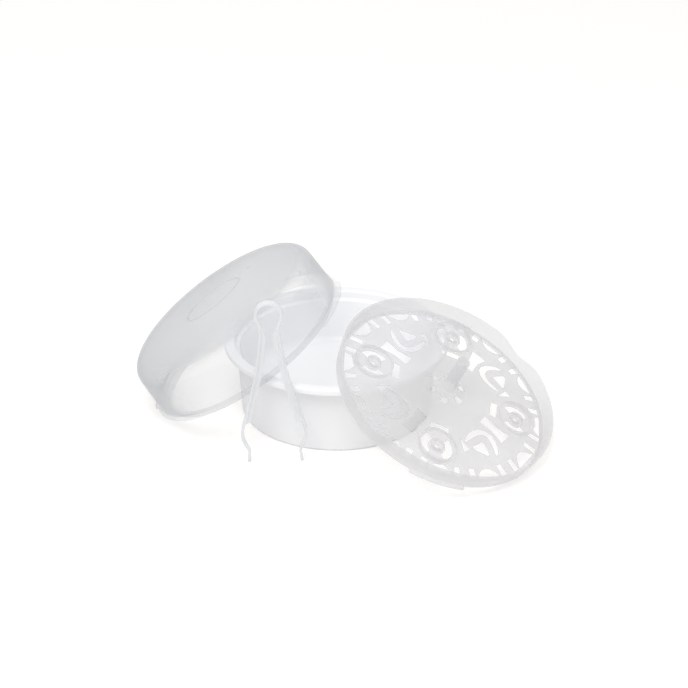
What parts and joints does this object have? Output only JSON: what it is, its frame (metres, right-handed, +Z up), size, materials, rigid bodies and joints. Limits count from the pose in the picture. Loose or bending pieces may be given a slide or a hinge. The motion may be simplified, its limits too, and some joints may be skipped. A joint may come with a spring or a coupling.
{
  "type": "microwave steam steriliser set",
  "caption": "Round microwave steam steriliser taken apart: white bowl, frosted domed cover and perforated bottle rack leaning on it, and sprung tongs standing in front.",
  "frame": {"origin": "centre of the bowl's foot ring, on the surface it stands on", "axes": "+Z up out of the bowl, +X to the viewer's right as pictured, +Y away from the viewer"},
  "size_m": [0.5168, 0.3884, 0.2116],
  "materials": {
    "white_plastic": "smooth, softly glossy",
    "frosted_plastic": "frosted, translucent",
    "frosted_rack_plastic": "frosted, translucent",
    "frosted_tongs_plastic": "frosted, translucent"
  },
  "bodies": {
    "base": {"base_bowl": "white_plastic"},
    "cover_body": {"cover": "frosted_plastic"},
    "rack_body": {"rack": "frosted_rack_plastic"},
    "tongs": {"tongs_bow": "frosted_tongs_plastic"},
    "left_arm": {"tongs_arm_left": "frosted_tongs_plastic"},
    "right_arm": {"tongs_arm_right": "frosted_tongs_plastic"}
  },
  "joints": [
    {"name": "cover_lift", "type": "slide", "parent": "base", "child": "cover_body", "axis": [-0.5486, 0.2494, 0.798], "range_m": [0, 0.12]},
    {"name": "rack_lift", "type": "slide", "parent": "base", "child": "rack_body", "axis": [0.386, -0.28, 0.879], "range_m": [0, 0.12]},
    {"name": "tongs_lift", "type": "slide", "parent": "base", "child": "tongs", "axis": [0, -0.5, 0.866], "range_m": [0, 0.1]},
    {"name": "right_squeeze", "type": "hinge", "parent": "tongs", "child": "right_arm", "pos_m": [-0.08074, -0.13185, 0.19432], "axis": [0, 0.9983, -0.0576], "range_deg": [0, 7.5], "stiffness_Nm_per_rad": 4},
    {"name": "left_squeeze", "type": "hinge", "parent": "tongs", "child": "left_arm", "pos_m": [-0.08074, -0.13185, 0.19432], "axis": [0, -0.9983, 0.0576], "range_deg": [0, 7.5], "stiffness_Nm_per_rad": 4}
  ],
  "couplings": [
    {"joint": "left_squeeze", "follows": "right_squeeze", "ratio": 1}
  ]
}
